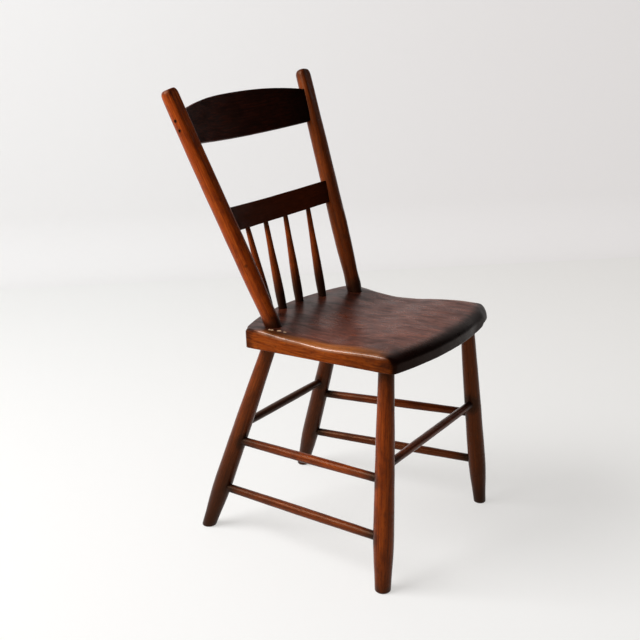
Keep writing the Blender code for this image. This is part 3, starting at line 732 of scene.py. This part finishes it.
def makeLeg(end, sideName):
    own, side = ownLegs[end + sideName.title()], sides[sideName]
    foot, head = legAxis(end, sideName)
    length = (head - foot).length
    footRadius = own["footRadius"]
    swell, neck = (legs[key] * own["girth"] for key in ("swell", "neck"))
    shape = [(at, footRadius + share * (swell - footRadius)) for at, share in legs["lower"]]
    shape += [(at, neck + share * (swell - neck)) for at, share in legs["upper"]]
    body = [(radius, at * length) for at, radius in smoothThrough(shape, 5)]
    rings = [(footRadius, -legs["footAllowance"])]
    rings += [ring for ring in body if ring[1] > legs["footAllowance"]]
    rings.append((neck, length + legs["socket"]))
    name = f"{end}_leg_{sideName}"
    leg = turnRod(name, rings, legs, foot, head)
    # cut level with the floor, then the edge of the foot rounded by wear
    openMesh()
    bpy.ops.mesh.bisect(plane_co=(0, 0, 0), plane_no=(0, 0, 1), use_fill=True, clear_inner=True)
    bpy.ops.mesh.bevel(offset=legs["footArris"], segments=3)
    closeMesh()
    # dirt where the stretchers go in: towards the other end of the chair, and towards the other side
    facing = Vector((0, 1 if end == "front" else -1, 0))
    index = ("front", "rear").index(end)
    joints = [(stretchers[level][index], facing) for level in ("upper", "lower")]
    joints.append((stretchers[end], Vector((-side, 0, 0))))
    marks = [(onLeg(end, sideName, height) + toward * swell, *legs["jointDirt"]) for height, toward in joints]
    woodName = f"stainedMapleLeg{end.title()}{sideName.title()}"
    seed = 1 + len(end) + 2 * side
    dressRod(leg, woodName, foot, head, seed, own["brown"], own["dirt"], marks)


for end in ("front", "rear"):
    for sideName in sides:
        makeLeg(end, sideName)


# Stretchers

def makeStretcher(name, start, end, radius, seed, brown, ends):
    gap = (end - start).normalized() * stretchers["endGap"]
    first, last = start + gap, end - gap
    length = (last - first).length
    rings = [(radius * girth, at * length) for at, girth in smoothThrough(stretchers["shape"], 6)]
    rod = turnRod(name, rings, stretchers, first, last)
    dirt = [(at, max(share, brown * stretchers["brownDirt"])) for at, share in ends]
    dressRod(rod, "stainedMaple_" + name, first, last, seed, brown, dirt)


for sideName, side in sides.items():
    for number, level in enumerate(("upper", "lower")):
        front, rear = stretchers[level]
        if side > 0:
            frontRise, rearRise = stretchers["rise"][level]
            front, rear = front + frontRise, rear + rearRise
        makeStretcher(
            f"side_stretcher_{sideName}_{level}", onLeg("front", sideName, front),
            onLeg("rear", sideName, rear), stretchers["sideRadius"][sideName], 12 + number + 2 * side,
            stretchers["brown"][sideName][number], stretchers["sideDirt"],
        )
for number, end in enumerate(("front", "rear")):
    makeStretcher(
        f"{end}_stretcher", onLeg(end, "right", stretchers[end]), onLeg(end, "left", stretchers[end]),
        stretchers["crossRadius"], 20 + number, stretchers["crossBrown"][end], stretchers["crossDirt"],
    )


# Back

back = {
    "baseHalfSpread": 0.1466, "baseY": 0.0541, "rake": 21.86, "splay": 8.63,
    "crestBelowTip": 0.0433, "midRailPlace": 0.404,
}

posts = {
    "length": 0.459, "radius": 0.0159, "foot": 0.0133, "socket": 0.024,
    # the rounding of the tip: how deep, and how much of the radius it takes
    "tipRound": 0.0118, "tipShare": 0.42, "tipRise": 0.0002, "facetStart": 0.36,
    "tipSteps": 8, "tipRings": (0.5, 0.36, 0.2, 0.06),
    # place up the post, and radius between its foot's and its full one
    "shape": (
        (0.0, 0.35), (0.02, 0.62), (0.04, 0.55), (0.075, 0.36), (0.12, 0.6), (0.18, 0.88), (0.27, 1.04),
        (0.38, 1.03), (0.7, 0.97), (0.9, 0.92),
    ),
    # a small knot on the right post, in its own frame: place, radius and strength
    "knot": ((-0.0133, -0.0083, 0.124), 0.0048, 0.62),
    "sides": 88, "bendSpan": (0.2, 1.2), "uneven": (0.0008, 0.05),
}

# each post by itself: longer, thicker, splayed a little more, its foot nearer the middle
# the right one is bent, and lighter than the left one
ownPosts = {
    "right": {
        "extra": 0.0018, "girth": 1.022, "splay": 0.02, "inward": 0.0, "bend": 0.0023,
        "facetDepth": 0.0056, "facetEdge": 0.0009, "brown": 0.0,
        "tint": {"light": "bc5518", "middle": "9d3f10", "dark": "66230c"},
        "dirt": ((0.0, 0.95), (0.025, 0.85), (0.05, 0.35), (0.12, 0.05), (0.965, 0.0), (1.0, 0.65)),
    },
    "left": {
        "extra": 0.0068, "girth": 1.0555, "splay": 0.36, "inward": 0.0018, "bend": 0.0,
        "facetDepth": 0.0074, "facetEdge": 0.0026, "brown": 0.35, "tint": {},
        "dirt": (
            (0.0, 0.95), (0.025, 0.85), (0.06, 0.35), (0.16, 0.1), (0.6, 0.14), (0.85, 0.28), (0.94, 0.2),
            (1.0, 0.6),
        ),
    },
}

rails = {
    "crest_rail": {
        "height": 0.0612, "arch": 0.0245, "bow": 0.0272, "thickness": 0.013, "rightDrop": 0.0042,
        "seed": 41, "brown": 0.0,
        "dirt": (
            (0.0, 0.4), (0.06, 0.18), (0.16, 0.08), (0.5, 0.25), (0.7, 0.5), (0.84, 0.7), (0.94, 0.9),
            (1.0, 1.0),
        ),
    },
    "mid_rail": {
        "height": 0.0441, "arch": 0, "bow": 0.0266, "thickness": 0.015, "rightDrop": 0,
        "seed": 42, "brown": 0.35,
        "dirt": ((0.0, 0.7), (0.06, 0.4), (0.16, 0.1), (0.3, 0.0), (0.8, 0.05), (0.94, 0.5), (1.0, 1.0)),
    },
    # how full the arch is on the right and on the left
    "archPower": (2.0, 2.5), "tenonPastAxis": 0.004, "arris": 0.0016, "uneven": (0.0006, 0.06),
    # strips along and up the board, and where its right end drops
    "strips": (72, 10), "dropSpan": (-0.4, -1),
}

nails = {
    "firstHeight": 0.0265, "pitch": 0.0177, "pitRadius": 0.0025, "pitDepth": 0.0016, "punchLength": 0.008,
    "haloRadius": 0.0058, "haloStrength": 0.65,
}

splay = math.radians(back["splay"])
backPlace = (
    Matrix.Translation((0, back["baseY"], rearTopHeight(back["baseY"])))
    @ Matrix.Rotation(-math.radians(back["rake"]), 4, "X")
)
crestBottom = posts["length"] - back["crestBelowTip"] - rails["crest_rail"]["height"]
midRailBottom = posts["length"] * back["midRailPlace"]


def postHalfSpread(height):
    return back["baseHalfSpread"] + height * math.tan(splay)


def shaveFront(post, own, length):
    # the front of the post is shaved flat, ever deeper towards the tip
    base = posts["facetStart"] * posts["length"]
    slant = own["facetDepth"] / (length - base)
    for vertex in post.data.vertices:
        flat = -posts["radius"] + slant * (vertex.co.z - base)
        if vertex.co.z > base:
            vertex.co.y = -softMin(-vertex.co.y, -flat, own["facetEdge"] * 2)


def sinkNail(post, side, level):
    # a shallow pit where the nail head was driven below the surface, and its dark halo
    up = crestBottom + nails["firstHeight"] + level * nails["pitch"]
    head = Vector((side * (postHalfSpread(up) + posts["radius"]), 0, up))
    middle = head + Vector((side * (nails["punchLength"] / 2 - nails["pitDepth"]), 0, 0))
    bpy.ops.mesh.primitive_cylinder_add(vertices=28, radius=nails["pitRadius"], depth=nails["punchLength"])
    punch = nameIt("nailPunch")
    place(punch, backPlace @ Matrix.Translation(middle) @ Matrix.Rotation(math.radians(90), 4, "Y"))
    pick(post)
    pit = post.modifiers.new("pit", "BOOLEAN")
    pit.operation = "DIFFERENCE"
    pit.object = punch
    bpy.ops.object.modifier_apply(modifier="pit")
    bpy.data.objects.remove(punch)
    return backPlace @ head, nails["haloRadius"], nails["haloStrength"]


def makePost(sideName):
    side, own = sides[sideName], ownPosts[sideName]
    length = posts["length"] + own["extra"]
    foot, full = posts["foot"], posts["radius"] * own["girth"]
    rings = [(foot, -posts["socket"])]
    body = smoothThrough([(at, foot + share * (full - foot)) for at, share in posts["shape"]], 9)
    rings += [(radius, at * length) for at, radius in body]
    shoulder = rings[-1][0]
    for turn in quarterRound(posts["tipSteps"]):
        rings.append((
            shoulder - shoulder * posts["tipShare"] * (1 - math.cos(turn)),
            length - posts["tipRound"] * (1 - math.sin(turn)),
        ))
    rings += [(shoulder * share, length + posts["tipRise"]) for share in posts["tipRings"]]
    post = drawOut(f"back_post_{sideName}Wood", rings, posts["sides"])
    shaveFront(post, own, length)
    for vertex in post.data.vertices:
        bent = math.sin(math.pi * ease(*posts["bendSpan"], vertex.co.z / length))
        vertex.co.x += side * own["bend"] * bent
    outward = side * (splay + math.radians(own["splay"]))
    spread = back["baseHalfSpread"] - own["inward"]
    postPlace = backPlace @ (Matrix.Translation((side * spread, 0, 0)) @ Matrix.Rotation(outward, 4, "Y"))
    place(post, postPlace)
    handMade(post, *posts["uneven"])
    marks = [sinkNail(post, side, level) for level in (0, 1)]
    if side < 0:
        spot, radius, strength = posts["knot"]
        marks.append((postPlace @ Vector(spot), radius, strength))
    material = makeWood(
        f"stainedMaplePost{sideName.title()}", {**turnedLook, **own["tint"]}, postPlace.to_quaternion(),
        postPlace @ Vector((0, 0, length / 2)), length, 30 + side, own["brown"], own["dirt"], marks,
    )
    finishPiece(post, material)


for sideName in sides:
    makePost(sideName)


def makeRail(name, bottom):
    # a flat board with eased edges, cut into strips so that it can be bent, then arched and bowed
    own = rails[name]
    height, bow = own["height"], own["bow"]
    bpy.ops.mesh.primitive_cube_add(size=1, location=(0, 0, 0.5))
    rail = nameIt(name + "Wood")
    bpy.ops.object.transform_apply()
    rail.scale = (2, own["thickness"], height)
    bpy.ops.object.transform_apply()
    openMesh()
    bpy.ops.mesh.bevel(offset=rails["arris"], segments=3)
    along, up = rails["strips"]
    cuts = [((2 * step / along - 1, 0, 0), (1, 0, 0)) for step in range(1, along)]
    cuts += [((0, 0, height * step / up), (0, 0, 1)) for step in range(1, up)]
    cuts.append(((0, 0, 0), (0, 1, 0)))
    for spot, normal in cuts:
        bpy.ops.mesh.select_all(action="SELECT")
        bpy.ops.mesh.bisect(plane_co=spot, plane_no=normal)
    closeMesh()
    bend = arcRadius(postHalfSpread(bottom + height / 2), bow)
    for vertex in rail.data.vertices:
        x, y, z = vertex.co
        level = bottom + z
        reach = postHalfSpread(level) + rails["tenonPastAxis"]
        turn = x * math.asin(reach / bend)
        power = rails["archPower"][0 if x < 0 else 1]
        rise = own["arch"] * (1 - abs(x) ** power) - own["rightDrop"] * ease(*rails["dropSpan"], x)
        radius = bend + y
        level += rise * (z / height)
        vertex.co = (radius * math.sin(turn), bow - bend + radius * math.cos(turn), level)
    place(rail, backPlace)
    handMade(rail, *rails["uneven"])
    turn = (backPlace @ Matrix.Rotation(math.radians(90), 4, "Y")).to_quaternion()
    centre = backPlace @ Vector((0, bow, bottom + height / 2))
    length = 2 * postHalfSpread(bottom)
    material = makeWood(
        "stainedRail_" + name, railLook, turn, centre, length, own["seed"], own["brown"], own["dirt"],
    )
    finishPiece(rail, material)


makeRail("crest_rail", crestBottom)
makeRail("mid_rail", midRailBottom)


# Spindles

spindles = {
    # half spreads at the seat and at the rail
    "inner": (0.0298, 0.0337), "outer": (0.0854, 0.1042), "arcBow": 0.0617,
    "radius": 0.0089, "tip": 0.0046, "socket": 0.018, "tenon": 0.01,
    # how far the spindles stand off the true arc: the first one's foot, and the others' feet and tips
    "firstShift": (-0.0058, 0.0032), "otherShift": (-0.0003, -0.0011),
    "dirt": ((0.0, 0.97), (0.16, 0.94), (0.27, 0.72), (0.38, 0.3), (0.54, 0.05), (0.9, 0.0), (1.0, 0.6)),
    "shape": (
        (0.0, 0.84), (0.1, 0.98), (0.2, 1.0), (0.35, 0.88), (0.5, 0.69),
        (0.64, 0.46), (0.79, 0.24), (0.92, 0.1), (1.0, 0.0),
    ),
    "sides": 40, "brown": 0.1, "uneven": (0.0005, 0.04),
}


def makeSpindle(number, seatX, railX):
    footY = back["baseY"] + spindles["arcBow"] * (1 - (seatX / back["baseHalfSpread"]) ** 2)
    if number == 1:
        seatX += spindles["firstShift"][0]
        footY += spindles["firstShift"][1]
    else:
        seatX += spindles["otherShift"][0]
        railX += spindles["otherShift"][1]
    foot = Vector((seatX, footY, rearTopHeight(footY)))
    height, bow = (rails["mid_rail"][key] for key in ("height", "bow"))
    bend = arcRadius(postHalfSpread(midRailBottom + height / 2), bow)
    railY = bow - bend + math.sqrt(bend ** 2 - railX ** 2)
    tip = backPlace @ Vector((railX, railY, midRailBottom))
    length = (tip - foot).length
    low, high = spindles["tip"], spindles["radius"]
    body = [(low + share * (high - low), at * length) for at, share in smoothThrough(spindles["shape"], 5)]
    rings = [(body[0][0], -spindles["socket"]), *body, (low, length + spindles["tenon"])]
    name = f"spindle_{number}"
    spindle = turnRod(name, rings, spindles, foot, tip)
    woodName = f"stainedMapleSpindle{number}"
    dressRod(spindle, woodName, foot, tip, 50 + number, spindles["brown"], spindles["dirt"])


outer, inner = spindles["outer"], spindles["inner"]
for number, (side, spread) in enumerate(((-1, outer), (-1, inner), (1, inner), (1, outer)), start=1):
    makeSpindle(number, side * spread[0], side * spread[1])


# Nails: cut iron, driven through the posts into the crest rail, brown with age

iron, tree, shader, coords = newMaterial("rustedCutIron")
rust = addNode(tree, "TexNoise", {"Scale": 900.0, "Detail": 4.0}, {"Vector": coords}).outputs["Fac"]
brown = ramp(tree, rust, ((0.35, "1c120e"), (0.7, "3b2318")))
fill(tree, shader, {"Metallic": 0.6, "Roughness": 0.6}, {"Base Color": brown})
for name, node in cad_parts.items():
    if name.startswith("crest_nail"):
        node.data.materials.clear()
        node.data.materials.append(iron)


# Studio

studio = {
    # colours at the far left, far right, near left and near right
    "floor": ("fdfefe", "fcfbfa", "ffffff", "ffffff"), "wall": ("fefeff", "fefcfd", "fefeff", "fefcfd"),
    "bounce": "c0bfbd", "warmth": "fffdfa", "floorRadius": 9.0, "shadowShare": 0.44,
    # directions and spans over which the colours pass into each other: across, and from far to near
    "imageRight": (0.532, -0.847, 0.0), "width": (-0.9, 0.9),
    "towardWall": (0.847, 0.532, 0.0), "depth": (1.9, -0.4),
    "wallDistance": 2.13, "wallTurn": 11.3, "coveRadius": 0.2, "wallHeight": 3.2, "wallHalfWidth": 4.0,
    # the cove starts this far before its curve, and this far above the floor
    "coveLap": 0.05, "coveLift": 0.0004, "coveSteps": 16,
}


def paleMaterial(name, farLeft, farRight, nearLeft, nearRight):
    # matt paint: it passes on a soft bounce, and the camera and reflections see it near its own colour
    material, tree, shader, coords = newMaterial(name)
    tree.nodes.remove(shader)
    across = vectorMaths(tree, "DOT_PRODUCT", coords, studio["imageRight"])
    share = mapRange(tree, across, studio["width"], smooth=True)
    away = vectorMaths(tree, "DOT_PRODUCT", coords, studio["towardWall"])
    farColour = mixColours(tree, share, farLeft, farRight)
    nearColour = mixColours(tree, share, nearLeft, nearRight)
    colour = mixColours(tree, mapRange(tree, away, studio["depth"]), farColour, nearColour)
    bounce = addNode(tree, "BsdfDiffuse", {"Color": hexColour(studio["bounce"])}).outputs[0]
    lit = addNode(tree, "BsdfDiffuse", None, {"Color": colour}).outputs[0]
    warm = mixColours(tree, 1.0, colour, studio["warmth"], "MULTIPLY")
    glow = addNode(tree, "Emission", {"Strength": 1.0}, {"Color": warm}).outputs[0]
    seen = addNode(tree, "MixShader", {0: studio["shadowShare"]}, {1: glow, 2: lit}).outputs[0]
    rays = addNode(tree, "LightPath").outputs
    direct = maths(tree, "MAXIMUM", rays["Is Camera Ray"], rays["Is Glossy Ray"])
    surface = addNode(tree, "MixShader", None, {0: direct, 1: bounce, 2: seen}).outputs[0]
    fill(tree, tree.nodes["Material Output"], None, {"Surface": surface})
    return material


bpy.ops.mesh.primitive_circle_add(vertices=96, radius=studio["floorRadius"], fill_type="NGON")
floor = nameIt("studioFloor")
floor.data.materials.append(paleMaterial("paintedFloor", *studio["floor"]))

camera = {"place": (-1.741, -1.0483, 1.0436), "azimuth": 57.84, "tilt": 17.24, "lens": 62.44}

bpy.ops.mesh.primitive_plane_add(size=1)
wall = nameIt("studioWall")
distance, cove, lift = studio["wallDistance"], studio["coveRadius"], studio["coveLift"]
rows = [(distance - cove - studio["coveLap"], lift)]
for turn in quarterRound(studio["coveSteps"]):
    rows.append((distance - cove * (1 - math.sin(turn)), cove * (1 - math.cos(turn)) + lift))
rows.append((distance, studio["wallHeight"]))
halfWidth = studio["wallHalfWidth"]
points = [(away, sideways, up) for away, up in rows for sideways in (-halfWidth, halfWidth)]
mesh = bpy.data.meshes.new("studioWall")
mesh.from_pydata(points, [], [(2 * i, 2 * i + 1, 2 * i + 3, 2 * i + 2) for i in range(len(rows) - 1)])
wall.data = mesh
wall.rotation_euler = (0, 0, math.radians(90 - camera["azimuth"] + studio["wallTurn"]))
wall.data.materials.append(paleMaterial("paintedWall", *studio["wall"]))
pick(wall)
bpy.ops.object.transform_apply()
bpy.ops.object.shade_smooth()

# one large soft light, and a sky that is brighter on the light's side
light = {
    "direction": (-0.75, 0.66, 0.0), "height": 41, "distance": 3.0, "size": (2.1, 1.7), "level": 1.06,
    "aim": (0, 0, 0.4), "sky": (0.07, 0.6), "skySpan": (-0.3, 1.0),
}

climb = math.radians(light["height"])
toLight = Vector(light["direction"]).normalized() * math.cos(climb) + Vector((0, 0, math.sin(climb)))
bpy.ops.object.light_add(
    type="AREA", location=Vector(light["aim"]) + toLight * light["distance"],
    rotation=toLight.to_track_quat("Z", "Y").to_euler(),
)
lamp = nameIt("keyLight")
lamp.data.shape = "RECTANGLE"
lamp.data.size, lamp.data.size_y = light["size"]
lamp.data.energy = math.pi ** 2 * light["distance"] ** 2 * light["level"]

world = bpy.data.worlds.new("studioWorld")
bpy.context.scene.world = world
world.use_nodes = True
tree = world.node_tree
heading = addNode(tree, "TexCoord").outputs["Generated"]
facing = vectorMaths(tree, "DOT_PRODUCT", heading, light["direction"])
level = mapRange(tree, facing, light["skySpan"], light["sky"])
fill(tree, tree.nodes["Background"], {"Color": (1, 1, 1, 1)}, {"Strength": level})

turn = (math.radians(90 - camera["tilt"]), 0, -math.radians(camera["azimuth"]))
bpy.ops.object.camera_add(location=camera["place"], rotation=turn)
eye = nameIt("photoCamera")
eye.data.lens = camera["lens"]
bpy.context.scene.camera = eye
bpy.context.scene.view_settings.view_transform = "Standard"
